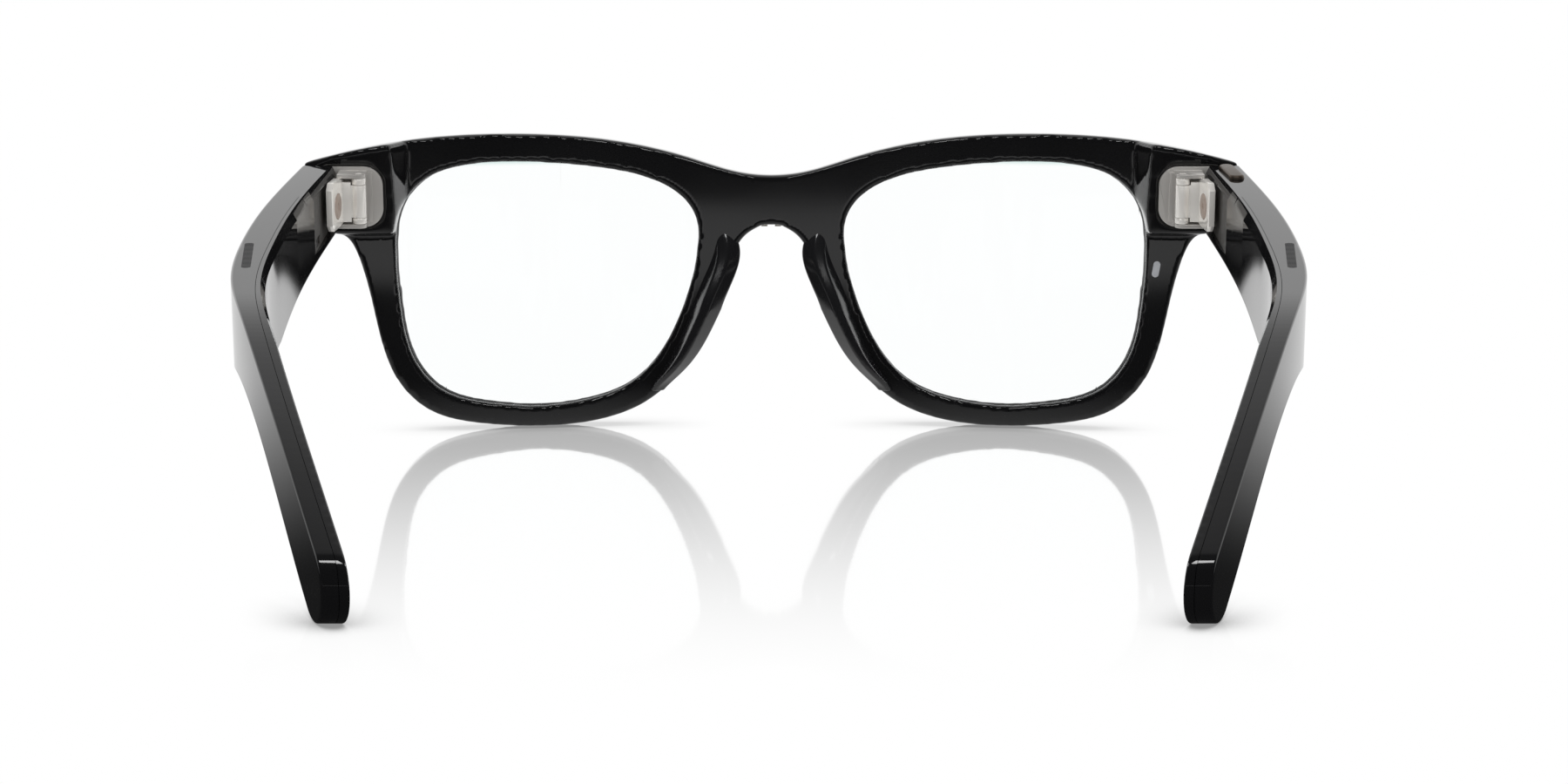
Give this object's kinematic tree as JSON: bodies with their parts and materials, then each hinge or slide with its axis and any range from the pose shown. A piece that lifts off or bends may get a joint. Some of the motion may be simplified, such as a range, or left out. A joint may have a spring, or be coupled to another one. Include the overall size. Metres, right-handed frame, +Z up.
{
  "type": "smart glasses",
  "caption": "Black smart glasses with clear lenses, sprung folding temples, a capture button, a camera, a capture light, open-ear speakers and a battery in the temples.",
  "frame": {"origin": "on the floor under the middle of the glasses as they stand open on rims and temple tips", "axes": "+X to the wearer's right, +Y the way the wearer looks, +Z up"},
  "size_m": [0.1504, 0.1576, 0.0473],
  "materials": {
    "black_frame": "polished injection-moulded black",
    "clear_lens": "clear coated lens",
    "dark_glass": "dark window",
    "dark_trim": "satin black",
    "dark_panel": "satin dark grey",
    "sound_mesh": "fine dark mesh",
    "hinge_nickel": "polished and brushed nickel",
    "screw_bronze": "soft bronze",
    "button_bronze": "dark bronze satin",
    "can_metal": "pressed steel",
    "circuit_board": "solder resist",
    "flex_film": "polyimide film",
    "contact_metal": "gold plated",
    "light_diffuser": "frosted diffuser"
  },
  "bodies": {
    "front": {"front_frame": "black_frame", "right_lens": "clear_lens", "left_lens": "clear_lens", "right_nose_pad": "black_frame", "left_nose_pad": "black_frame", "camera_trim_ring": "dark_trim", "camera_window": "dark_glass", "camera_module": "dark_trim", "light_trim_ring": "dark_trim", "light_window": "dark_glass", "light_board": "circuit_board", "brow_flex_cable": "flex_film", "charging_contacts": "contact_metal", "contact_carrier": "dark_trim", "status_light": "light_diffuser", "status_light_chip": "circuit_board", "bridge_microphone": "can_metal", "right_hinge_plate": "hinge_nickel", "right_hinge_pin": "hinge_nickel", "left_hinge_plate": "hinge_nickel", "left_hinge_pin": "hinge_nickel"},
    "right_leaf": {"right_hinge_leaf": "hinge_nickel", "right_hinge_rings": "hinge_nickel", "right_leaf_screw": "screw_bronze"},
    "left_leaf": {"left_hinge_leaf": "hinge_nickel", "left_hinge_rings": "hinge_nickel", "left_leaf_screw": "screw_bronze"},
    "right_temple": {"right_temple_shell": "black_frame", "right_temple_cover": "black_frame", "right_pocket_panel": "dark_panel", "right_top_grille": "sound_mesh", "right_lower_grille": "sound_mesh", "right_spring_box": "can_metal", "right_flex_spring": "can_metal", "right_spring_carriage": "can_metal", "right_speaker": "dark_trim", "right_microphone": "can_metal", "main_board": "circuit_board", "processor_shield": "can_metal", "touch_sensor": "flex_film", "button_switch": "dark_trim"},
    "left_temple": {"left_temple_shell": "black_frame", "left_temple_cover": "black_frame", "left_pocket_panel": "dark_panel", "left_top_grille": "sound_mesh", "left_lower_grille": "sound_mesh", "left_spring_box": "can_metal", "left_flex_spring": "can_metal", "left_spring_carriage": "can_metal", "left_speaker": "dark_trim", "left_microphone": "can_metal", "battery": "can_metal", "battery_board": "circuit_board"},
    "capture_button": {"capture_button": "button_bronze"},
    "power_slider": {"power_slider": "dark_trim"}
  },
  "joints": [
    {"name": "right_fold", "type": "hinge", "parent": "front", "child": "right_leaf", "pos_m": [0.0643, 0.05863, 0.03788], "axis": [0, 0.1123, -0.9937], "range_deg": [0, 76]},
    {"name": "right_flex", "type": "hinge", "parent": "right_leaf", "child": "right_temple", "pos_m": [0.0734, 0.06106, 0.03815], "axis": [0, 0.1123, -0.9937], "range_deg": [-8, 0], "stiffness_Nm_per_rad": 0.6, "springref_deg": 5.73},
    {"name": "left_fold", "type": "hinge", "parent": "front", "child": "left_leaf", "pos_m": [-0.0643, 0.05863, 0.03788], "axis": [0, -0.1123, 0.9937], "range_deg": [0, 86]},
    {"name": "left_flex", "type": "hinge", "parent": "left_leaf", "child": "left_temple", "pos_m": [-0.0734, 0.06106, 0.03815], "axis": [0, -0.1123, 0.9937], "range_deg": [-8, 0], "stiffness_Nm_per_rad": 0.6, "springref_deg": 5.73},
    {"name": "capture_press", "type": "slide", "parent": "right_temple", "child": "capture_button", "axis": [0, 0.1123, -0.9937], "range_m": [0, 0.0003], "stiffness_N_per_m": 1500},
    {"name": "power_slide", "type": "slide", "parent": "left_temple", "child": "power_slider", "axis": [0, 0.9937, 0.1123], "range_m": [0, 0.0019]}
  ]
}
